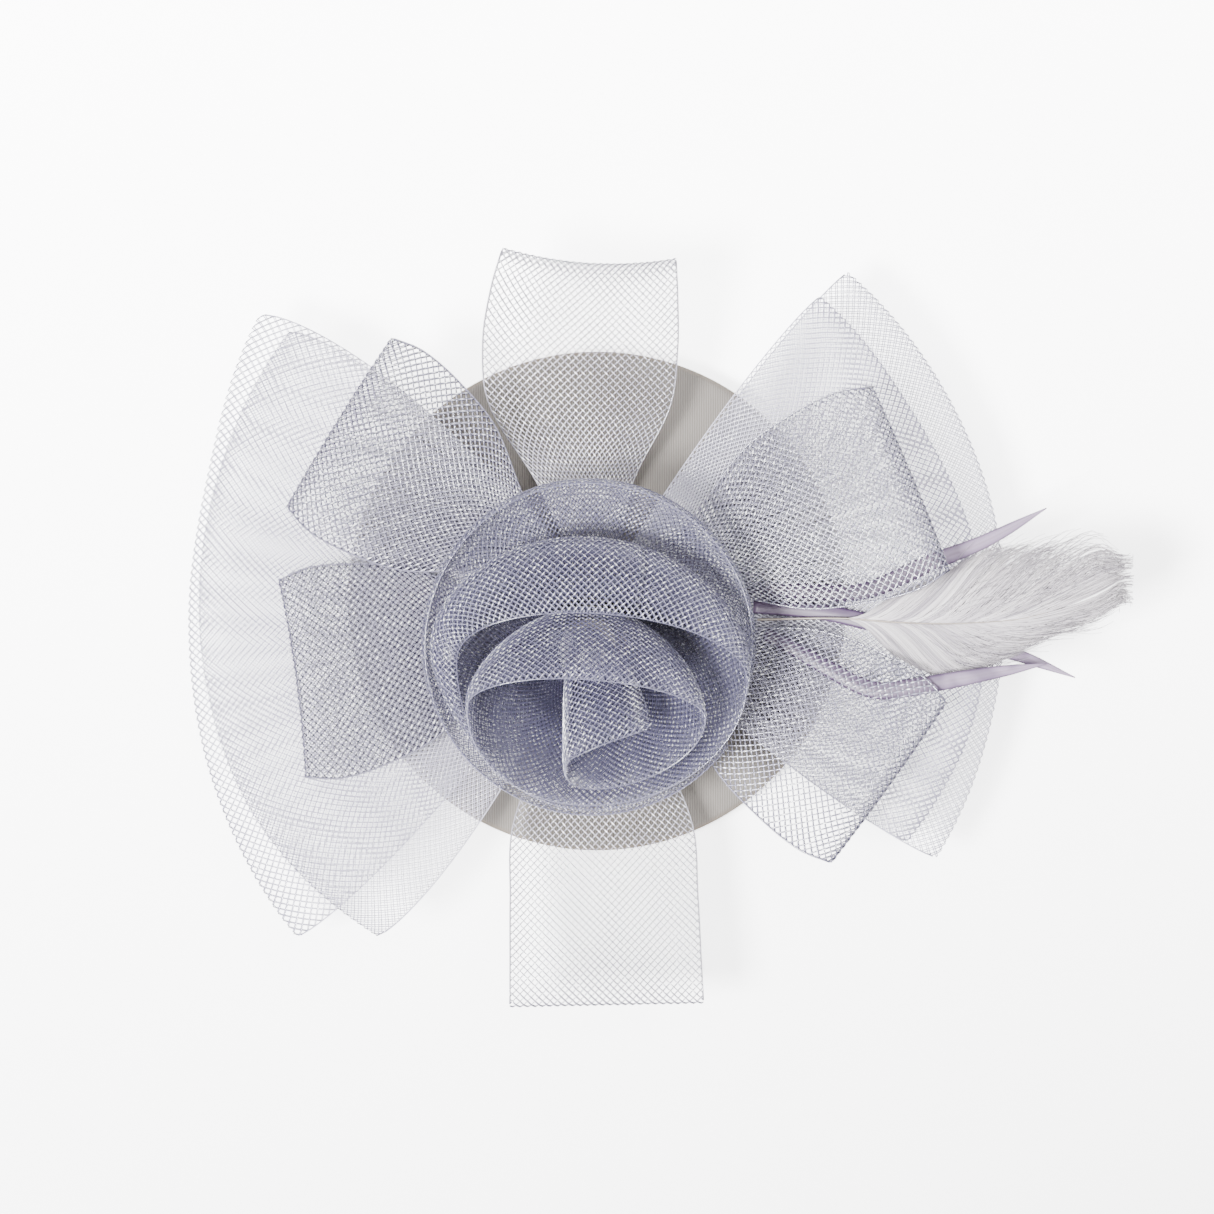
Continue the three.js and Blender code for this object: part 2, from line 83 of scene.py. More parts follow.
FIRST_LAYER = BASE_HEIGHT + CRIN_WALL + 1.5 * SEAM_GAP


def layer_height(layer):
    return FIRST_LAYER + layer * LAYER_RISE


FEATHER_HEIGHT = layer_height(1) + LAYER_RISE / 2
ROSE_FOOT_HEIGHT = layer_height(2) + LAYER_RISE / 2 + LOOP_ARCH + 1.5 * SEAM_GAP

# Threads of the nets: the distance between them and their radii
THREAD_PITCH = 1.95
ROSE_PITCH = 1.9
WING_THREAD = 0.118
LOW_LOOP_THREAD = 0.145
HIGH_LOOP_THREAD = 0.178
ROSE_THREAD = 0.138
THREAD_WAVER = 0.015
TUBE_SIDES = 3
NUDGE = 0.05

# How far apart a thread's points lie, and where it gets more of them round a fold
WING_STEP = 3.4
LOOP_STEP = 2.4
ROSE_STEP = 2.6
EDGE_STEP = 2.4
FOLD_POINTS = (-1.6, -0.7, 0, 0.7, 1.6)
# How far from the rose's rim its painted highlight reaches
RIM_PAINTED_HIGHLIGHT_REACH = 0.8

# Shares of the pitch, of a thread's radius and of one crossing
SHORTEST_THREAD = 0.4
THREAD_RISE = 0.7
EDGE_CORD = 1.3
RIM_CORD = 0.9
FOLD_SWELL = 0.45
CORD_WEAVE = 0.6

# Each wing: heading, reach, give, layer, lift, first and last flare, and its fold's reach from side to side
WINGS = {
    "wing_left_outer": (184, 105, 1.01, 0, 5, 0.3, 0.16, (1.08, 1.0, 1.0, 1.04, 1.1)),
    "wing_left_inner": (187.8, 101, 1.075, 1, 12, 0.24, 0.2, (1.025, 1.0, 1.0, 1.015, 1.005)),
    "wing_right_outer": (7.8, 104.5, 1.02, 0, 5, 0.13, 0.11, (1.045, 1.01, 1.0, 0.998, 1.015)),
    "wing_right_inner": (8, 97, 0.965, 1, 10, 0.12, 0.11, (1.03, 1.035, 1.0, 0.965, 0.99)),
}
WING_SIDES = (-1, -0.5, 0, 0.5, 1)

# Each loop: heading, reach, skew, bow, sway, layer, lift, puff, roll and the widths it follows
LOOPS = {
    "loop_top": (91.2, 87.5, 1.8, -2.5, 3.4, 0, 20, 2.6, 0, "splayed"),
    "loop_upper_left": (145.2, 78.5, -1.7, 0.5, 0, 2, 18, 2.6, 4, "gathered"),
    "loop_left": (194.3, 79.1, 2.7, -1, 1.5, 2, 14, 2.6, 1.5, "gathered"),
    "loop_bottom": (271.4, 102.9, 0.1, 0, 0, 0, 11, 2.6, 0, "flat"),
    "loop_lower_right": (328.2, 86.4, 1.8, 0.5, 1, 2, 16, 3.4, -1, "gathered"),
    "loop_right": (21.3, 84.5, -0.4, 0.5, 0.5, 2, 18, 2.6, -2, "gathered"),
}
LOOP_LAYER = 5
LOOP_OUT = (0, 0.25, 0.5, 0.7, 0.88, 1)
LOOP_WIDTHS = {
    "gathered": (0.2, 0.42, 0.86, 1.02, 1.07, 0.99),
    "splayed": (0.24, 0.5, 0.92, 0.99, 0.94, 0.87),
    "flat": (0.24, 0.56, 0.92, 0.96, 0.975, 0.985),
}

# The rose, by turns from its core out
ROSE_TURNS = (0, 0.5, 1, 1.5, 2, 2.5, 3, 3.5, 3.9)
ROSE_SHAPE = {
    "wide": (0.26, 0.25, 0.62, 0.72, 0.92, 0.8, 0.97, 1, 1.015),
    "far": (0.04, 0.05, 0.15, 0.24, 0.34, 0.4, 0.9, 1, 1.01),
    "near": (0.2, 0.2, 0.36, 0.6, 0.75, 0.9, 0.98, 1.01, 1.02),
    "x": (0.11, 0.11, 0.06, -0.01, 0.01, 0, 0, 0, 0),
    "y": (-0.46, -0.67, -0.44, -0.33, -0.2, -0.08, 0, 0, 0),
    "z": (0.8, 0.78, 0.8, 0.82, 0.74, 0.68, 0.52, 0.46, 0.44),
    "tip": (0.1, 0.13, 0.2, 0.24, 0.26, 0.25, 0.14, 0.12, 0.12),
    "over": (0.1, 0.1, 0.2, 0.22, 0.38, 0.42, 0.22, 0.2, 0.2),
    "side": (0.03, 0.02, 0.08, 0.12, 0.17, 0.34, 0.18, 0.18, 0.18),
    "under": (0, 0, 0, 0.03, 0.05, 0.07, 0.1, 0.1, 0.1),
    "sag": (0.6, 0.55, 0.55, 0.52, 0.55, 0.54, 0.5, 0.5, 0.5),
}
ROSE_MEASURED_UP = 0.8
ROSE_LAYERS_APART = 0.9
ROSE_RIM_ROUNDNESS = 1.2
ROSE_BREAK_TURN = 2.2
ROSE_LOOSE_TURN = 2.9
# How lit the outside layer of the rose's outermost turns is painted, as a share; the rest is painted shade
ROSE_LOOSE_OUTSIDE_LIGHT = 0.35
# The rose's wall gets painted shade below this share of the way up, growing over this range toward the foot
ROSE_PAINTED_SHADE_UP = 0.38
ROSE_PAINTED_SHADE_RANGE = 0.15

# The stripped feathers, place by place, with heights counted from the seam between wings and loops
BIOTS = {
    "biot_lower": [(43, -8.4, 5.35), (48, -11, 6.65), (55, -15, 8.85), (61, -18.5, 10.55), (66, -21.2, 11.85),
                   (71, -22.7, 12.95), (76, -22.4, 13.75), (82, -21.4, 14.65), (97, -18.6, 16.15),
                   (113, -15.8, 17.15)],
    "biot_upper": [(38, 1.5, 2.85), (50, 2.6, 4.45), (63, 2, 6.45), (70, 3, 7.85), (84, 9.4, 10.05),
                   (98, 15, 11.45), (113.6, 23.4, 12.75)],
    "biot_under": [(40, -1.6, 2.95), (58, -3, 5.15), (76, -7, 7.85), (92, -10, 10.15), (106, -13.6, 11.05),
                   (121, -19.4, 11.75)],
}
BIOT_ALONG = (0, 0.3, 0.6, 0.85, 1)
BIOT_WIDTHS = (0.95, 1.3, 1.35, 0.9, 0.08)
BIOT_WIDTH = 3.2
BIOT_THICKNESS = 0.22
BIOT_ROLL = 0.22

HACKLE_START = (41, -4.8, FEATHER_HEIGHT + 3.85)
HACKLE_ALONG = (0, 0.23, 0.37, 0.51, 0.6, 0.72, 0.83, 0.93, 1)
HACKLE_SHAPE = {
    "bend": (0, 0.004, -0.006, -0.011, -0.008, 0.002, 0.03, 0.068, 0.112),
    "rise": (0, 0.038, 0.058, 0.078, 0.09, 0.103, 0.112, 0.117, 0.12),
    "left": (0.01, 0.015, 0.2, 0.39, 0.53, 0.585, 0.55, 0.46, 0.19),
    "right": (0.01, 0.015, 0.25, 0.42, 0.385, 0.27, 0.21, 0.22, 0.2),
}
VANE_START = 0.23
VANE_SPAN = 0.55
BARBS = 640
BARB_RADIUS = 0.2
CLUMP_CHANCE = 0.09
WISPS = 260
WISP_RADIUS = 0.1
HAIR_TIP_RADIUS = 0.02
HAIR_POINTS = 9
QUILL_RADIUS = 0.34
QUILL_LENGTH = 0.8

# The cover of the base
COVER_SIDES = 160
COVER_THICKNESS = 2.0
SHOULDER_RINGS = 5
CROWN_RINGS = (58, 48, 36, 24, 12)

# The camera's place from the base's centre, and each light: place, energy and size
CAMERA_LENS = 91.24
CAMERA_ASIDE = (2.6, -1.56)
CAMERA_HEIGHT = 0.808
LIGHTS = {
    "key": ((-0.5, -0.2, 1.0), 76, 0.32),
    "fill": ((0.4, 0.3, 1.1), 8, 0.6),
}
FLOOR_BELOW = 0.0004
FLOOR_GLOW = (0.5, 5.5)
FLOOR_GLOW_REACH = 0.16


# Helpers for shapes

def smooth_read(at, places, values):
    """A smooth curve through a short column, read at many places."""
    places = np.asarray(places, float)
    values = np.asarray(values, float)
    at = np.asarray(at, float)
    last = len(places) - 1
    i = np.clip(np.searchsorted(places, at, side="left") - 1, 0, last - 1)
    before = np.maximum(np.arange(last + 1) - 1, 0)
    after = np.minimum(np.arange(last + 1) + 1, last)
    slopes = (values[after] - values[before]) / (places[after] - places[before])
    step = places[i + 1] - places[i]
    t = (at - places[i]) / step
    start = (1 + 2 * t) * (1 - t) ** 2 * values[i] + t * (1 - t) ** 2 * step * slopes[i]
    end = t ** 2 * (3 - 2 * t) * values[i + 1] + t ** 2 * (t - 1) * step * slopes[i + 1]
    return start + end


def unit(vectors):
    return vectors / np.maximum(np.linalg.norm(vectors, axis=-1, keepdims=True), 1e-9)


def new_mesh(name, points, faces):
    """A smooth shaded mesh object from points in millimetres round the base's centre."""
    mesh = bpy.data.meshes.new(name)
    mesh.from_pydata((np.asarray(points) * MM + CENTRE).tolist(), [], faces)
    mesh.polygons.foreach_set("use_smooth", np.ones(len(faces), bool))
    mesh.update()
    piece = bpy.data.objects.new(name, mesh)
    bpy.context.scene.collection.objects.link(piece)
    return piece


def set_numbers(piece, name, numbers):
    """A number on each point, which the material reads by this name."""
    attribute = piece.data.attributes.new(name, "FLOAT", "POINT")
    attribute.data.foreach_set("value", np.asarray(numbers, np.float32))


def tubes(centres, tangents, normals, radii, ends):
    """Three-sided closed tubes along threads that lie one after another in the same arrays."""
    normals = unit(normals)
    sideways = unit(np.cross(tangents, normals))
    points = []
    for side in range(TUBE_SIDES):
        angle = 2 * math.pi * side / TUBE_SIDES
        points.append(centres + radii[:, None] * (math.cos(angle) * normals + math.sin(angle) * sideways))
    points = np.stack(points, axis=1).reshape(-1, 3)
    ring = TUBE_SIDES * np.arange(len(centres))
    start = ring[~ends][:, None]
    quads = []
    for side in range(TUBE_SIDES):
        beside = (side + 1) % TUBE_SIDES
        quads.append(np.hstack([start + side, start + beside, start + TUBE_SIDES + beside,
                                start + TUBE_SIDES + side]))
    firsts = ring[np.concatenate([[True], ends[:-1]])][:, None]
    lasts = ring[ends][:, None]
    caps = [np.hstack([firsts + 2, firsts + 1, firsts]), np.hstack([lasts, lasts + 1, lasts + 2])]
    return points, np.vstack(quads).tolist() + np.vstack(caps).tolist()


def finish(piece, kind, **values):
    """One modifier with its values, applied."""
    bpy.ops.object.select_all(action="DESELECT")
    bpy.context.view_layer.objects.active = piece
    piece.select_set(True)
    modifier = piece.modifiers.new(kind.lower(), kind)
    for key, value in values.items():
        setattr(modifier, key, value)
    bpy.ops.object.modifier_apply(modifier=modifier.name)


rng = np.random.default_rng(7)


# Nets

def folded_strip(plan, height, puff):
    """The middle of a strip folded over at its outer end, from the lower layer's root to the upper one's."""
    seat = (CRIN_WALL + SEAM_GAP) / 2

    def bend(a):
        return np.sqrt(a * a + FOLD_ROUNDNESS ** 2) - FOLD_ROUNDNESS

    def place(path, across):
        path = np.clip(path, -1, 1)
        out = 1 - bend(path) / bend(1.0)
        opening = puff * (1 - PUFF_FALL * across ** 2) * (1 - path ** 2) ** PUFF_POWER
        layer = opening * np.tanh(FOLD_OPENING * path) + seat * path * np.abs(path)
        x, y = plan(out, across)
        return np.stack([x, y, height(out, across) + layer], axis=-1)

    return place


def wing_surface(heading, reach, give, layer, lift, first, last, fold):
    """A wide fan round the base's centre, with a few soft gathers along it."""
    spread = WIDE_CRIN * give / (2 * reach)
    middle = math.radians(heading)

    def plan(out, across):
        fold_reach = reach * smooth_read(across, WING_SIDES, fold)
        radius = WING_ROOT + (fold_reach - WING_ROOT) * out
        flare = (first + last + (last - first) * across) / 2
        angle = middle + across * spread * (1 + flare * np.maximum(1 - out, 0) ** FLARE_POWER)
        return radius * np.cos(angle), radius * np.sin(angle)

    def height(out, across):
        gather = WING_GATHER * np.cos(WING_GATHERS * math.pi * across) * 4 * out * (1 - out)
        return layer_height(layer) + lift * out ** LIFT_POWER + gather

    return folded_strip(plan, height, WING_PUFF)


def loop_surface(heading, reach, skew, bow, sway, layer, lift, puff, roll, shape):
    """A narrow strip that leaves the rose straight outward, a little arched from side to side."""
    angle = math.radians(heading)

    def plan(out, across):
        fold_reach = reach + skew * across + bow * (1 - across ** 2)
        far = LOOP_ROOT + (fold_reach - LOOP_ROOT) * out
        width = NARROW_CRIN * smooth_read(out, LOOP_OUT, LOOP_WIDTHS[shape])
        side = across * width / 2 + sway * 4 * out * (1 - out)
        return far * math.cos(angle) - side * math.sin(angle), far * math.sin(angle) + side * math.cos(angle)

    def height(out, across):
        arch = LOOP_ARCH * (1 - across ** 2) * 4 * out * (1 - out)
        return layer_height(layer) + lift * out ** LIFT_POWER + arch + roll * across * out

    return folded_strip(plan, height, puff)


def rose_wall(turn, up):
    """A place on the rose's wound wall, on a curve from its foot through its belly up to its rim."""
    angle = turn * 2 * math.pi
    outward = np.stack([np.cos(angle), np.sin(angle), np.zeros_like(angle)], axis=-1)
    sine = outward[..., 1]
    shape = {key: smooth_read(turn, ROSE_TURNS, column) for key, column in ROSE_SHAPE.items()}
    foot = outward * (ROSE_FOOT_START + ROSE_FOOT_PITCH * turn)[..., None]
    rim = np.stack([
        (shape["x"] + shape["wide"] * outward[..., 0]) * ROSE_RADIUS,
        (shape["y"] + np.where(sine > 0, shape["far"], shape["near"]) * sine) * ROSE_RADIUS,
        (shape["z"] + shape["tip"] * sine) * ROSE_HEIGHT,
    ], axis=-1)
    facing = np.abs(sine)
    swell = np.where(sine > 0, shape["over"], shape["under"]) * facing + shape["side"] * (1 - facing)
    belly = foot + (rim - foot) * ROSE_BELLY + outward * (swell * ROSE_RADIUS)[..., None]
    belly[..., 2] = rim[..., 2] * shape["sag"]
    pull = (up * (1 - up))[..., None]
    up = up[..., None]
    point = foot * ((1 - up) ** 2 - pull) + belly * 4 * pull + rim * (up ** 2 - pull)
    return point + np.array([ROSE_CENTRE[0], ROSE_CENTRE[1], ROSE_FOOT_HEIGHT])


def lengths_along(surface, starts, across):
    """How far along a surface each place is, measured on one line."""
    points = surface(starts, np.full_like(starts, across))
    steps = np.linalg.norm(np.diff(points, axis=0), axis=1)
    return np.concatenate([[0.0], np.cumsum(steps)])


def weave_net(name, cloth, length, width, pitch, radius, step, painted_layer_lighting, fold=None, span=None,
              painted_depth_shade=None):
    """A net of two crossing sets of threads on a cloth given in its own flat millimetres.

    Each point counts the threads crossed on its way: even counts pass over and odd ones under, and the
    material paints a highlight where threads pass over and shade where they dip under. The layer that lies
    behind is given painted shade. The cloth is folded at one place along it, or else down its middle, and
    threads get closer points there. The painted depth shade, where there is one, is a number on each point by
    which the material darkens deep places.
    """
    low, high = (0.0, length) if span is None else span
    along, across, ends, lean, weave = [], [], [], [], []
    for way in (1, -1):
        first = math.floor((low - width) / pitch)
        last = math.ceil(high / pitch)
        for k in range(first, last + 1):
            start = k * pitch
            a, b = max(start, low), min(start + width, high)
            if b - a < SHORTEST_THREAD * pitch:
                continue
            count = max(2, int(math.ceil((b - a) * math.sqrt(2) / step)) + 1)
            line = np.linspace(a, b, count)
            turned = (start + width / 2 if fold is None else fold) + np.array(FOLD_POINTS)
            line = np.union1d(line, turned[(turned > a) & (turned < b)])
            count = len(line)
            along.append(line)
            across.append(way * (line - start - width / 2))
            weave.append((line - start - width / 2) * 2 / pitch + (way < 0))
            mark = np.zeros(count, bool)
            mark[-1] = True
            ends.append(mark)
            lean.append(np.full(count, way))
    radii = [np.full(len(line), radius) for line in along]
    for edge in (-0.5, 0, 0.5) if fold is None else (-0.5, 0.5):
        count = int((high - low) / EDGE_STEP)
        along.append(np.linspace(low, high, count))
        across.append(np.full(count, edge * width))
        mark = np.zeros(count, bool)
        mark[-1] = True
        ends.append(mark)
        lean.append(np.zeros(count))
        weave.append(np.full(count, CORD_WEAVE))
        radii.append(np.full(count, (EDGE_CORD if edge else RIM_CORD) * radius))
    along, across, ends, lean, weave, radii = map(np.concatenate, (along, across, ends, lean, weave, radii))

    def at(shift_along, shift_across):
        a = np.clip(along + shift_along, low, high)
        return cloth(a, np.clip(across + shift_across, -width / 2, width / 2))

    # How near each thread point lies to the rose's rim or to a fold. Threads at a fold swell, and the
    # material paints a highlight along the rose's rim and shade along the folds of wings and loops
    if fold is None:
        crease = np.exp(-np.abs(across) / RIM_PAINTED_HIGHLIGHT_REACH)
    else:
        crease = np.exp(-np.abs(along - fold) / (1.5 + width / 60))
        radii = radii * (1 + FOLD_SWELL * crease)
    centres = cloth(along, across)
    tangents = unit(at(NUDGE, lean * NUDGE) - at(-NUDGE, -lean * NUDGE))
    normals = unit(np.cross(at(NUDGE, 0) - at(-NUDGE, 0), at(0, NUDGE) - at(0, -NUDGE)))
    waver = rng.normal(0, THREAD_WAVER, len(centres)) * (lean != 0)
    centres = centres + normals * (lean * THREAD_RISE * radius + waver)[:, None]
    points, faces = tubes(centres, tangents, normals, radii, ends)
    piece = new_mesh(name, points, faces)
    # Numbers that the material turns into painted light: over or under at each crossing, painted shade on the
    # layer behind, the painted fold colour and painted shade in deep places
    set_numbers(piece, "weave", np.repeat(weave, TUBE_SIDES))
    set_numbers(piece, "painted_layer_light", np.repeat(painted_layer_lighting(along, across), TUBE_SIDES))
    set_numbers(piece, "crease", np.repeat(crease, TUBE_SIDES))
    if painted_depth_shade is not None:
        set_numbers(piece, "painted_depth_shade", np.repeat(painted_depth_shade(along, across), TUBE_SIDES))
    return piece


def folded_net(name, surface, width, radius, step):
    """The net of a wing or loop, folded over half way, and the flat length of its strip."""
    paths = np.linspace(-1, 1, 801)
    measured = lengths_along(surface, paths, 0.0)
    length = measured[-1]

    def cloth(along, across):
        return surface(np.interp(along, measured, paths), across * 2 / width)

    # Painted shade on the lower layer, which lies behind, and painted light on the upper one
    def painted_layer_lighting(along, across):
        return np.where(along < length / 2, 0.0, 1.0)

    piece = weave_net(name, cloth, length, width, THREAD_PITCH, radius, step, painted_layer_lighting, fold=length / 2)
    return piece, length


# Nets on the wings and loops

nets = []
for name, row in WINGS.items():
    piece, length = folded_net(name + "_net", wing_surface(*row), WIDE_CRIN, WING_THREAD, WING_STEP)
    nets.append((piece, name, WIDE_CRIN, length, WING_THREAD, "wing_threads"))
for name, row in LOOPS.items():
    if row[LOOP_LAYER] == 0:
        radius, finish_name = LOW_LOOP_THREAD, "low_loop_threads"
    else:
        radius, finish_name = HIGH_LOOP_THREAD, "high_loop_threads"
    piece, length = folded_net(name + "_net", loop_surface(*row), NARROW_CRIN, radius, LOOP_STEP)
    nets.append((piece, name, NARROW_CRIN, length, radius, finish_name))

# The rose, its strip folded at the rim and woven in two pieces, the inner turns and the outer ones
turns = np.linspace(0, ROSE_TURNS[-1], 1601)
rose_lengths = lengths_along(rose_wall, turns, ROSE_MEASURED_UP)


def rose_heights(rows=160, columns=61):
    """How far up the wall each share of the way down from its rim lies, and how long that way is."""
    shares = np.linspace(0, 1, columns)
    ups, ways = [], []
    for turn in np.linspace(0, ROSE_TURNS[-1], rows):
        points = rose_wall(np.full(columns, turn), 1 - shares)
        measured = np.concatenate([[0.0], np.cumsum(np.linalg.norm(np.diff(points, axis=0), axis=1))])
        ups.append(1 - np.interp(shares * measured[-1], measured, shares))
        ways.append(measured[-1])
    return np.array(ups), np.array(ways)


rose_ups, rose_ways = rose_heights()


def rose_up(turn, across):
    """The place up the wall that lies this far over the rim; the strip is gathered only toward its foot."""
    row = turn / ROSE_TURNS[-1] * (len(rose_ways) - 1)
    way = np.interp(row, np.arange(len(rose_ways)), rose_ways)
    half = ROSE_STRIP / 2
    away = np.abs(across) + (way - half) * (np.abs(across) / half) ** 3
    column = np.clip(away / way, 0, 1) * (rose_ups.shape[1] - 1)
    i = np.clip(row.astype(int), 0, rose_ups.shape[0] - 2)
    j = np.clip(column.astype(int), 0, rose_ups.shape[1] - 2)
    u, v = row - i, column - j
    near = rose_ups[i, j] * (1 - v) + rose_ups[i, j + 1] * v
    return near * (1 - u) + (rose_ups[i + 1, j] * (1 - v) + rose_ups[i + 1, j + 1] * v) * u


def rose_cloth(along, across):
    """The strip's two layers, a little apart everywhere but at the rim where it is folded."""
    turn = np.interp(along, rose_lengths, turns)
    up = rose_up(turn, across)
    nudge = 0.002
    normal = unit(np.cross(rose_wall(turn + nudge, up) - rose_wall(turn - nudge, up),
                           rose_wall(turn, up + nudge) - rose_wall(turn, up - nudge)))
    rounding = 1 - np.exp(-np.abs(across) / ROSE_RIM_ROUNDNESS)
    apart = ROSE_LAYERS_APART / 2 * np.sign(across) * rounding
    return rose_wall(turn, up) + normal * apart[..., None]


rose_total = rose_lengths[-1]
rose_break = float(np.interp(ROSE_BREAK_TURN, turns, rose_lengths))
rose_loose = float(np.interp(ROSE_LOOSE_TURN, turns, rose_lengths))


def rose_painted_layer_lighting(along, across):
    """Painted light on the layer that lies on top: the outer layer is lit on the inner turns and the inner
    layer on the outermost one, and the other layer gets painted shade, fully on the inner turns and partly on
    the outermost one.
    """
    inner_turns = np.where(across < 0, 0.0, 1.0)
    return np.where(along < rose_loose, inner_turns, np.where(across > 0, ROSE_LOOSE_OUTSIDE_LIGHT, 1.0))


# Painted shade deep down the rose's wall, growing toward its foot
def rose_painted_depth_shade(along, across):
    up = rose_up(np.interp(along, rose_lengths, turns), across)
    return np.clip((ROSE_PAINTED_SHADE_UP - up) / ROSE_PAINTED_SHADE_RANGE, 0, 1)


rose_parts = []
for part, start, end in (("inner", 0.0, rose_break), ("outer", rose_break, rose_total)):
    piece = weave_net("rose_" + part + "_net", rose_cloth, rose_total, ROSE_STRIP, ROSE_PITCH, ROSE_THREAD,
                      ROSE_STEP, rose_painted_layer_lighting, span=(start, end), painted_depth_shade=rose_painted_depth_shade)
    rose_parts.append((piece, end - start))

# Feathers

def hackle_place(along, across):
    """A place on the hackle's vane, from its quill (0) to its left (1) or right (-1) outline."""
    shape = {key: smooth_read(along, HACKLE_ALONG, column) for key, column in HACKLE_SHAPE.items()}
    side = across * HACKLE_WIDTH * np.where(across > 0, shape["left"], shape["right"])
    x = HACKLE_START[0] + along * HACKLE_LENGTH
    y = HACKLE_START[1] + shape["bend"] * HACKLE_LENGTH + side
    return np.stack([x, y, HACKLE_START[2] + shape["rise"] * HACKLE_LENGTH], axis=-1)


def strands(name, lines, radii, tones, fade=0.0):
    """Fine tapering hairs, each a line of points with its own radius at each and one tone that may fade."""
    centres = np.vstack(lines)
    ends = np.zeros(len(centres), bool)
    ends[np.cumsum([len(line) for line in lines]) - 1] = True
    tangents = np.vstack([unit(np.gradient(line, axis=0)) for line in lines])
    upright = np.tile([0.05, 0.08, 1.0], (len(centres), 1))
    normals = unit(np.cross(np.cross(tangents, upright), tangents))
    points, faces = tubes(centres, tangents, normals, np.concatenate(radii), ends)
    piece = new_mesh(name, points, faces)
    faded = [tone * (1 - fade * np.linspace(0, 1, len(line)) ** 3) for line, tone in zip(lines, tones)]
    set_numbers(piece, "tone", np.repeat(np.concatenate(faded), TUBE_SIDES))
    return piece


def hackle_barbs():
    """Barbs that leave the quill at a low angle: a close vane near the quill, a loose brush at its end."""
    lines, radii, tones = [], [], []
    t = np.linspace(0, 1, HAIR_POINTS)
    for side in (1, -1):
        clump, drift, droop, shade = 0.0, 0.0, 0.0, 0.5
        for k in range(BARBS):
            if rng.uniform() < CLUMP_CHANCE:
                clump, drift = rng.uniform(-0.16, 0.1), rng.uniform(-0.035, 0.03)
                droop, shade = rng.uniform(-1.0, 1.4), rng.uniform(0.25, 0.85)
            start = VANE_START + VANE_SPAN * (k / BARBS) ** 0.9
            loose = np.clip((start - 0.38) / 0.35, 0, 1)
            reach = 1.0 + loose * clump + rng.normal(0, 0.02 + 0.07 * loose)
            reach *= 1 - 0.95 * np.clip((start - 0.46) / 0.2, 0, 1) * rng.uniform()
            run = 0.16 + 0.4 * (start - VANE_START) + loose * drift
            run += rng.normal(0, 0.004 + 0.012 * loose)
            over = np.minimum(start + run * t ** 0.85, 0.985 + 0.05 * rng.uniform())
            line = hackle_place(np.clip(over, 0, 1), side * reach * np.sin(t * math.pi / 2) ** 1.1)
            line[:, 0] += np.maximum(over - 1, 0) * HACKLE_LENGTH
            line[:, 1] += (side * 4 * clump + rng.normal(0, 0.45)) * loose * t ** 3
            line[:, 2] += t * (1 - t) * 2.0 + droop * loose * t ** 2 + rng.normal(0, 0.12)
            lines.append(line)
            radii.append(BARB_RADIUS * (1 - 0.85 * t ** 1.8) * rng.uniform(0.8, 1.15))
            tones.append(np.clip(shade + rng.normal(0, 0.1), 0, 1))
    return strands("hackle_barbs", lines, radii, tones, fade=0.6)


def hackle_wisps():
    """Long loose hairs that stray past the vane."""
    lines, radii, tones = [], [], []
    t = np.linspace(0, 1, HAIR_POINTS)
    for _ in range(WISPS):
        side = rng.choice([-1, 1])
        start = rng.uniform(0.4, 0.78)
        run = rng.uniform(0.18, 0.3)
        over = np.minimum(start + run * t, 1.03)
        stray = rng.uniform(0.3, 1.12)
        line = hackle_place(np.clip(over, 0, 1), side * stray * np.sin(t * math.pi / 2))
        line[:, 0] += np.maximum(over - 1, 0) * HACKLE_LENGTH
        line[:, 1] += rng.normal(0, 1.5) * t ** 2
        line[:, 2] += rng.uniform(-0.6, 1.8) * t
        lines.append(line)
        radii.append(WISP_RADIUS * (1 - 0.8 * t) + HAIR_TIP_RADIUS)
        tones.append(rng.uniform(0, 1))
    return strands("hackle_wisps", lines, radii, tones, fade=0.5)


def quill():
    """The hackle's stem, lying on its barbs and thinning toward the tip."""
    t = np.linspace(0, 1, 40)
    line = hackle_place(t * QUILL_LENGTH, np.zeros_like(t))
    line[:, 2] += 0.5
    return strands("hackle_quill", [line], [QUILL_RADIUS * (1 - 0.8 * t) + 0.05], [0.5])


def spline_through(places, count):
    """Evenly spaced points on a smooth curve through a few places."""
    places = np.asarray(places, float)
    gaps = np.linalg.norm(np.diff(places, axis=0), axis=1)
    measured = np.concatenate([[0], np.cumsum(gaps)])
    at = np.linspace(0, measured[-1], count)
    return np.stack([smooth_read(at, measured, places[:, k]) for k in range(3)], axis=-1)


def stripped_feather(name, route):
    """A narrow blade with a raised rib, its sides a little rolled, thinning to a hair at the tip."""
    steps, lanes = 64, 7
    line = spline_through([(x, y, FEATHER_HEIGHT + z) for x, y, z in route], steps)
    heading = unit(np.gradient(line, axis=0) * [1, 1, 0])
    side = np.stack([-heading[:, 1], heading[:, 0], np.zeros(steps)], axis=-1)
    along = np.linspace(0, 1, steps)
    half = BIOT_WIDTH * 0.5 * smooth_read(along, BIOT_ALONG, BIOT_WIDTHS)
    across = np.linspace(-1, 1, lanes)
    points = line[:, None, :] + side[:, None, :] * (half[:, None] * across)[..., None]
    points[..., 2] += half[:, None] * BIOT_ROLL * (0.6 - np.abs(across))
    grid = np.arange(steps * lanes).reshape(steps, lanes)
    quads = np.stack([grid[:-1, :-1], grid[1:, :-1], grid[1:, 1:], grid[:-1, 1:]], axis=-1).reshape(-1, 4)
    piece = new_mesh(name, points.reshape(-1, 3), quads.tolist())
    set_numbers(piece, "tone", np.tile(np.abs(across), steps))
    set_numbers(piece, "along", np.repeat(along, lanes))
    finish(piece, "SOLIDIFY", thickness=BIOT_THICKNESS * MM, offset=0)
    return piece


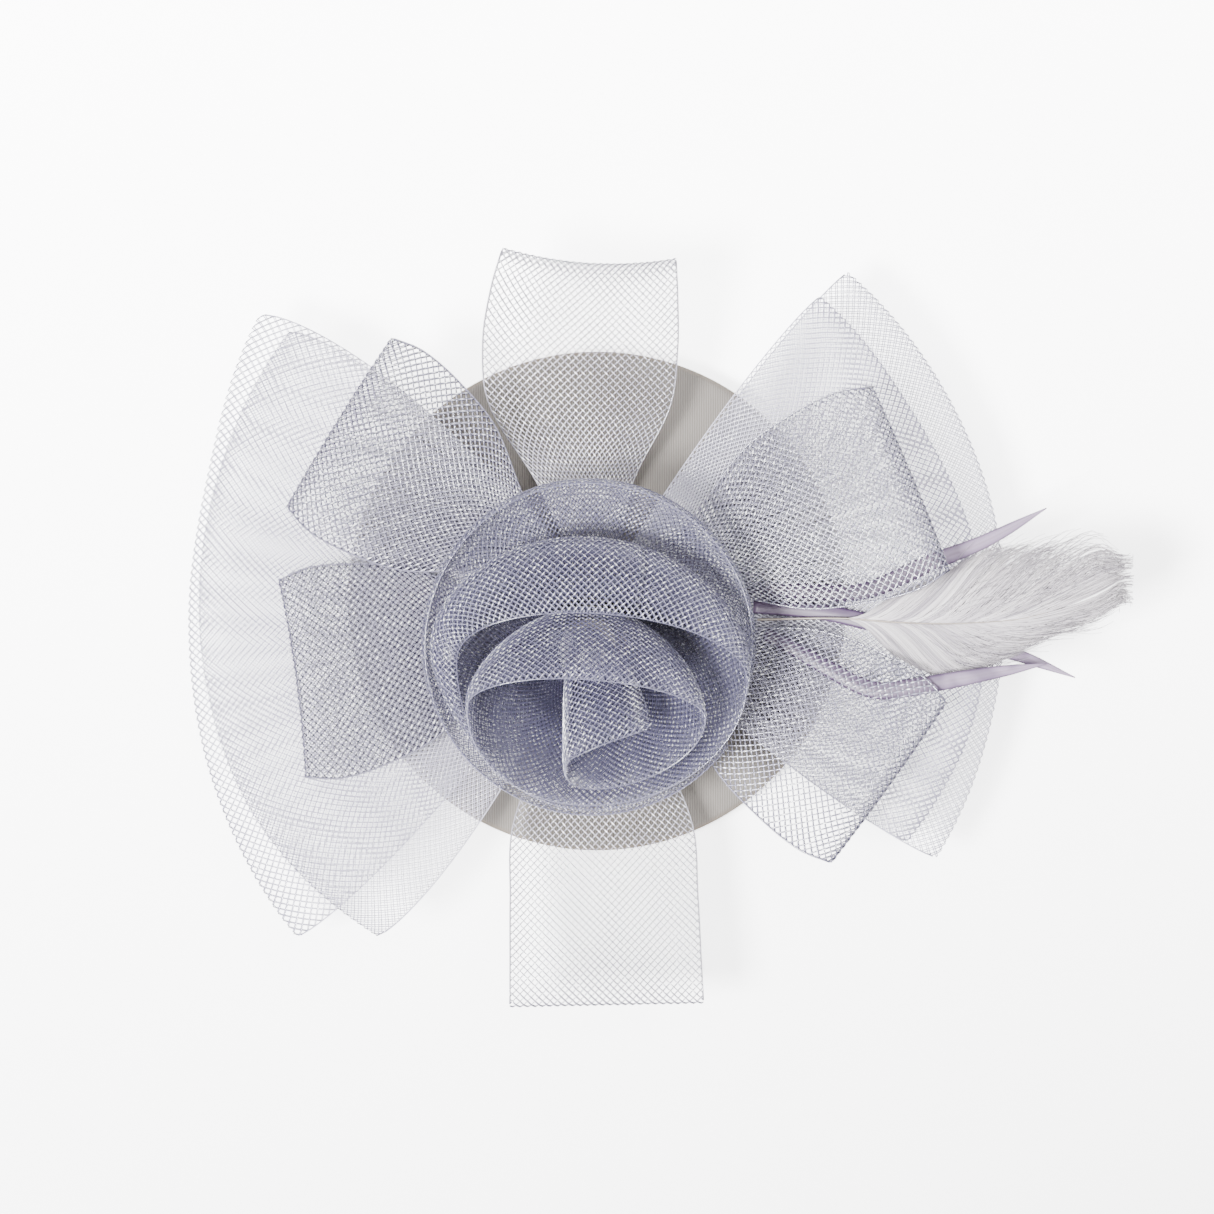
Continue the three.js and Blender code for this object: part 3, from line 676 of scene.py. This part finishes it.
barbs, wisps, shaft = hackle_barbs(), hackle_wisps(), quill()
stripped = [(stripped_feather(name + "_blade", route), name) for name, route in BIOTS.items()]

# The base: a shallow cap, open underneath, raised ring by ring from its rim

def crown_at(radius):
    return BASE_HEIGHT - BASE_CROWN * (radius / BASE_RADIUS) ** 2


def base_cover():
    flat_radius = BASE_RADIUS - BASE_SHOULDER
    shoulder = crown_at(flat_radius) - BASE_SHOULDER
    rings = [(BASE_RADIUS, shoulder)]
    for k in range(1, SHOULDER_RINGS + 1):
        turn = k * math.pi / (2 * SHOULDER_RINGS)
        rings.append((flat_radius + BASE_SHOULDER * math.cos(turn),
                      shoulder + BASE_SHOULDER * math.sin(turn)))
    rings += [(radius, crown_at(radius)) for radius in CROWN_RINGS]
    middle = Vector(CENTRE)
    bpy.ops.object.select_all(action="DESELECT")
    bpy.ops.mesh.primitive_circle_add(vertices=COVER_SIDES, radius=BASE_RADIUS * MM, location=middle)
    cover = bpy.context.object
    cover.name = "base_cover"
    bpy.ops.object.mode_set(mode="EDIT")
    radius, height = BASE_RADIUS, 0.0
    for next_radius, next_height in rings:
        rise = (0, 0, (next_height - height) * MM)
        bpy.ops.mesh.extrude_region_move(TRANSFORM_OT_translate={"value": rise})
        share = next_radius / radius
        bpy.ops.transform.resize(value=(share, share, 1), center_override=middle)
        radius, height = next_radius, next_height
    bpy.ops.mesh.edge_face_add()
    bpy.ops.mesh.poke(offset=0)
    bpy.ops.mesh.select_all(action="SELECT")
    bpy.ops.mesh.normals_make_consistent(inside=False)
    bpy.ops.object.mode_set(mode="OBJECT")
    bpy.ops.object.transform_apply(location=True, rotation=True, scale=True)
    finish(cover, "SOLIDIFY", thickness=COVER_THICKNESS * MM, offset=-1)
    bpy.ops.object.shade_smooth_by_angle(angle=math.radians(40))
    return cover


cover = base_cover()

# The camera looks straight down
camera_data = bpy.data.cameras.new("camera")
camera_data.sensor_width = 36
camera_data.lens = CAMERA_LENS
camera = bpy.data.objects.new("camera", camera_data)
camera.location = (CENTRE[0] + CAMERA_ASIDE[0] * MM, CENTRE[1] + CAMERA_ASIDE[1] * MM, CAMERA_HEIGHT)
bpy.context.scene.collection.objects.link(camera)
bpy.context.scene.camera = camera


# Materials

def new_material(name):
    material = bpy.data.materials.new(name)
    material.use_nodes = True
    tree = material.node_tree
    return material, tree.nodes, tree.links, tree.nodes["Principled BSDF"]


def feed(links, socket, value):
    """A node's output is linked to the socket, and a plain number or colour is set on it."""
    if isinstance(value, bpy.types.NodeSocket):
        links.new(value, socket)
    else:
        socket.default_value = value


def attribute(nodes, name):
    node = nodes.new("ShaderNodeAttribute")
    node.attribute_name = name
    return node.outputs["Fac"]


def calculate(nodes, links, operation, *values):
    node = nodes.new("ShaderNodeMath")
    node.operation = operation
    for socket, value in zip(node.inputs, values):
        feed(links, socket, value)
    return node.outputs["Value"]


def map_range(nodes, links, value, low, high, start=0.0, end=1.0):
    node = nodes.new("ShaderNodeMapRange")
    for name, number in (("From Min", low), ("From Max", high), ("To Min", start), ("To Max", end)):
        node.inputs[name].default_value = number
    links.new(value, node.inputs["Value"])
    return node.outputs["Result"]


def mix_colours(nodes, links, factor, first, second):
    node = nodes.new("ShaderNodeMix")
    node.data_type = "RGBA"
    for name, value in (("Factor", factor), ("A", first), ("B", second)):
        feed(links, node.inputs[name], value)
    return node.outputs["Result"]


def object_noise(nodes, links, scale):
    """Soft noise over the piece's own coordinates."""
    place = nodes.new("ShaderNodeTexCoord")
    noise = nodes.new("ShaderNodeTexNoise")
    noise.inputs["Scale"].default_value = scale
    links.new(place.outputs["Object"], noise.inputs["Vector"])
    return noise.outputs["Fac"]


def two_colour_ramp(nodes, links, value, low, high):
    ramp = nodes.new("ShaderNodeValToRGB")
    ramp.color_ramp.elements[0].color = low
    ramp.color_ramp.elements[1].color = high
    links.new(value, ramp.inputs["Fac"])
    return ramp.outputs["Color"]


def thread_colours_and_painted_light():
    """Clear nylon thread: painted shade where it dips under, a painted highlight where it passes over, and
    painted glints on top.

    A layer that lies behind stays dark as painted shade, a folded edge takes the painted fold colour, and
    deep places are dimmed as painted shade.
    """
    group = bpy.data.node_groups.new("thread_colours_and_painted_light", "ShaderNodeTree")
    for name in ("Under", "Over", "Painted_Glint", "Fold_Painted_Light"):
        group.interface.new_socket(name=name, in_out="INPUT", socket_type="NodeSocketColor")
    group.interface.new_socket(name="Color", in_out="OUTPUT", socket_type="NodeSocketColor")
    nodes, links = group.nodes, group.links
    given = nodes.new("NodeGroupInput")
    # Painted highlight where a thread passes over a crossing and painted shade where it dips under; a layer
    # that lies behind is held at the shade
    turned = calculate(nodes, links, "MULTIPLY", attribute(nodes, "weave"), math.pi)
    wave = calculate(nodes, links, "COSINE", turned)
    painted_layer_light = attribute(nodes, "painted_layer_light")
    over = map_range(nodes, links, wave, -0.5, 0.7, 0.36, 1.0)
    shown = calculate(nodes, links, "MULTIPLY", over, painted_layer_light)
    # Painted glints in patches on the tops of the threads that pass over
    top = map_range(nodes, links, wave, 0.5, 0.9)
    patch = map_range(nodes, links, object_noise(nodes, links, 320.0), 0.42, 0.66)
    painted_glint = calculate(nodes, links, "MULTIPLY", top, patch)
    lit = calculate(nodes, links, "MULTIPLY", painted_glint, painted_layer_light)
    painted_weave_light = mix_colours(nodes, links, shown, given.outputs["Under"], given.outputs["Over"])
    mixed = mix_colours(nodes, links, lit, painted_weave_light, given.outputs["Painted_Glint"])
    # The painted fold colour along folds and the rose's rims, then painted shade in deep places of the rose
    folded = mix_colours(nodes, links, attribute(nodes, "crease"), mixed, given.outputs["Fold_Painted_Light"])
    dim = map_range(nodes, links, attribute(nodes, "painted_depth_shade"), 0.0, 1.0, 0.0, 0.7)
    shaded = mix_colours(nodes, links, dim, folded, (0.02, 0.019, 0.036, 1))
    made = nodes.new("NodeGroupOutput")
    links.new(shaded, made.inputs["Color"])
    return group


# The threads' colours: painted shade where they dip under, a painted highlight where they pass over,
# and along a fold painted shade on the wings and loops and a painted highlight on the rose's rims.
# The raised loops and the rose get darker copies of the same crin, as painted shade where many layers lie
# over one another.
THREAD_COLOURS = {
    "wing_threads": ((0.4, 0.385, 0.47, 1), (0.47, 0.455, 0.54, 1), (0.15, 0.14, 0.205, 1)),
    "low_loop_threads": ((0.14, 0.131, 0.165, 1), (0.4, 0.387, 0.43, 1), (0.13, 0.12, 0.165, 1)),
    "high_loop_threads": ((0.038, 0.034, 0.062, 1), (0.275, 0.265, 0.345, 1), (0.055, 0.05, 0.088, 1)),
    "rose_threads": ((0.058, 0.055, 0.1, 1), (0.165, 0.16, 0.236, 1), (0.12, 0.115, 0.178, 1)),
}


def thread_material(name, group, under, over, crease):
    material, nodes, links, shader = new_material(name)
    colours = nodes.new("ShaderNodeGroup")
    colours.node_tree = group
    # Painted shade for threads that dip under, a painted highlight for those that pass over, white painted
    # glints and the painted fold colour
    colours.inputs["Under"].default_value = under
    colours.inputs["Over"].default_value = over
    colours.inputs["Painted_Glint"].default_value = (1, 1, 1, 1)
    colours.inputs["Fold_Painted_Light"].default_value = crease
    links.new(colours.outputs["Color"], shader.inputs["Base Color"])
    shader.inputs["Roughness"].default_value = 0.16
    shader.inputs["IOR"].default_value = 1.6
    shader.inputs["Specular IOR Level"].default_value = 0.9
    return material


threads = thread_colours_and_painted_light()
thread_finishes = {name: thread_material(name, threads, *row) for name, row in THREAD_COLOURS.items()}

for piece, node, width, length, radius, finish_name in nets:
    piece.data.materials.append(thread_finishes[finish_name])
    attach(piece, "root")
    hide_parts(node)
for piece, length in rose_parts:
    piece.data.materials.append(thread_finishes["rose_threads"])
    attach(piece, "root")
    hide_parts("rose")


def tone_ramp(nodes, links, colours):
    """A colour ramp over a piece's tone."""
    ramp = nodes.new("ShaderNodeValToRGB")
    ramp.color_ramp.elements.remove(ramp.color_ramp.elements[1])
    for k, (place, colour) in enumerate(colours):
        spot = ramp.color_ramp.elements[0] if k == 0 else ramp.color_ramp.elements.new(place)
        spot.position = place
        spot.color = colour
    links.new(attribute(nodes, "tone"), ramp.inputs["Fac"])
    return ramp.outputs["Color"]


def hackle_material():
    material, nodes, links, shader = new_material("hackle_down")
    colour = tone_ramp(nodes, links, [(0, (0.17, 0.152, 0.185, 1)), (0.35, (0.3, 0.278, 0.3, 1)),
                                      (0.7, (0.42, 0.395, 0.408, 1)), (1, (0.53, 0.51, 0.52, 1))])
    links.new(colour, shader.inputs["Base Color"])
    shader.inputs["Roughness"].default_value = 0.7
    return material


def quill_material():
    material, nodes, links, shader = new_material("quill_horn")
    colour = two_colour_ramp(nodes, links, object_noise(nodes, links, 160.0),
                             (0.2, 0.165, 0.14, 1), (0.36, 0.32, 0.28, 1))
    links.new(colour, shader.inputs["Base Color"])
    shader.inputs["Roughness"].default_value = 0.4
    return material


def stripped_material():
    """Satin mauve, paler toward the tip and darker along the edges, with dark patches here and there."""
    material, nodes, links, shader = new_material("stripped_feather")
    colour = tone_ramp(nodes, links, [(0, (0.15, 0.11, 0.165, 1)), (0.25, (0.19, 0.148, 0.215, 1)),
                                      (0.75, (0.15, 0.112, 0.175, 1)), (1, (0.06, 0.038, 0.075, 1))])
    tip = map_range(nodes, links, attribute(nodes, "along"), 0.35, 0.8, 0.3, 1.0)
    patch = map_range(nodes, links, object_noise(nodes, links, 110.0), 0.38, 0.5, 0.45, 1.0)
    shade = calculate(nodes, links, "MULTIPLY", tip, patch)
    mixed = mix_colours(nodes, links, shade, (0.03, 0.015, 0.045, 1), colour)
    links.new(mixed, shader.inputs["Base Color"])
    shader.inputs["Roughness"].default_value = 0.45
    return material


def base_material():
    """Warm grey ribbed cloth, with a darker band of painted shade where it rolls down round its edge."""
    material, nodes, links, shader = new_material("base_ribbed_cloth")
    place = nodes.new("ShaderNodeTexCoord")
    centred = nodes.new("ShaderNodeMapping")
    centred.inputs["Location"].default_value = (-CENTRE[0], -CENTRE[1], 0)
    links.new(place.outputs["Object"], centred.inputs["Vector"])
    ribs = nodes.new("ShaderNodeTexWave")
    ribs.wave_type = "BANDS"
    ribs.bands_direction = "X"
    ribs.inputs["Scale"].default_value = 520.0
    ribs.inputs["Distortion"].default_value = 0.6
    links.new(centred.outputs["Vector"], ribs.inputs["Vector"])
    axes = nodes.new("ShaderNodeSeparateXYZ")
    links.new(centred.outputs["Vector"], axes.inputs["Vector"])
    flat = nodes.new("ShaderNodeCombineXYZ")
    links.new(axes.outputs["X"], flat.inputs["X"])
    links.new(axes.outputs["Y"], flat.inputs["Y"])
    radius = nodes.new("ShaderNodeVectorMath")
    radius.operation = "LENGTH"
    links.new(flat.outputs["Vector"], radius.inputs[0])
    # Painted shade on the shoulder where the cover rolls down at its edge
    rim = map_range(nodes, links, radius.outputs["Value"], 0.0635, 0.0646)
    cloth = mix_colours(nodes, links, ribs.outputs["Fac"], (0.092, 0.083, 0.074, 1), (0.143, 0.131, 0.118, 1))
    links.new(mix_colours(nodes, links, rim, cloth, (0.11, 0.09, 0.07, 1)), shader.inputs["Base Color"])
    bump = nodes.new("ShaderNodeBump")
    bump.inputs["Strength"].default_value = 0.25
    bump.inputs["Distance"].default_value = 0.0002
    links.new(ribs.outputs["Fac"], bump.inputs["Height"])
    links.new(bump.outputs["Normal"], shader.inputs["Normal"])
    shader.inputs["Roughness"].default_value = 0.85
    return material


def clip_material():
    material, nodes, links, shader = new_material("clip_steel")
    place = nodes.new("ShaderNodeTexCoord")
    brushed = nodes.new("ShaderNodeMapping")
    brushed.inputs["Scale"].default_value = (40, 2500, 2500)
    noise = nodes.new("ShaderNodeTexNoise")
    noise.inputs["Scale"].default_value = 1.0
    links.new(place.outputs["Object"], brushed.inputs["Vector"])
    links.new(brushed.outputs["Vector"], noise.inputs["Vector"])
    colour = two_colour_ramp(nodes, links, noise.outputs["Fac"], (0.5, 0.51, 0.52, 1), (0.72, 0.73, 0.74, 1))
    links.new(colour, shader.inputs["Base Color"])
    shader.inputs["Metallic"].default_value = 1.0
    shader.inputs["Roughness"].default_value = 0.35
    return material


down, horn = hackle_material(), quill_material()
for piece, material in ((barbs, down), (wisps, down), (shaft, horn)):
    piece.data.materials.append(material)
    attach(piece, "root")
    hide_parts("hackle")
lilac = stripped_material()
for piece, node in stripped:
    piece.data.materials.append(lilac)
    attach(piece, "root")
    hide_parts(node)
cover.data.materials.append(base_material())
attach(cover, "root")
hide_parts("base_disc")
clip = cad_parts["clip"]
clip.data.materials.clear()
clip.data.materials.append(clip_material())

# Floor and light
bpy.ops.object.select_all(action="DESELECT")
bpy.ops.mesh.primitive_plane_add(size=6, location=(0, 0, -FLOOR_BELOW))
floor = bpy.context.object
floor.name = "floor"
floor_material, nodes, links, shader = new_material("pale_floor")
shader.inputs["Base Color"].default_value = (0.9, 0.9, 0.9, 1)
shader.inputs["Roughness"].default_value = 0.9
shader.inputs["Emission Color"].default_value = (1, 1, 1, 1)
place = nodes.new("ShaderNodeTexCoord")
axes = nodes.new("ShaderNodeSeparateXYZ")
links.new(place.outputs["Object"], axes.inputs["Vector"])
glow = map_range(nodes, links, axes.outputs["Y"], -FLOOR_GLOW_REACH, FLOOR_GLOW_REACH, *FLOOR_GLOW)
links.new(glow, shader.inputs["Emission Strength"])
floor.data.materials.append(floor_material)

world = bpy.data.worlds.new("studio")
bpy.context.scene.world = world
world.use_nodes = True
background = world.node_tree.nodes["Background"]
background.inputs["Color"].default_value = (1, 1, 1, 1)
background.inputs["Strength"].default_value = 1.15

for light_name, (spot, energy, size) in LIGHTS.items():
    light_data = bpy.data.lights.new(light_name, "AREA")
    light_data.energy = energy
    light_data.size = size
    light = bpy.data.objects.new(light_name, light_data)
    light.location = spot
    light.rotation_euler = Vector(spot).to_track_quat("Z", "Y").to_euler()
    bpy.context.scene.collection.objects.link(light)
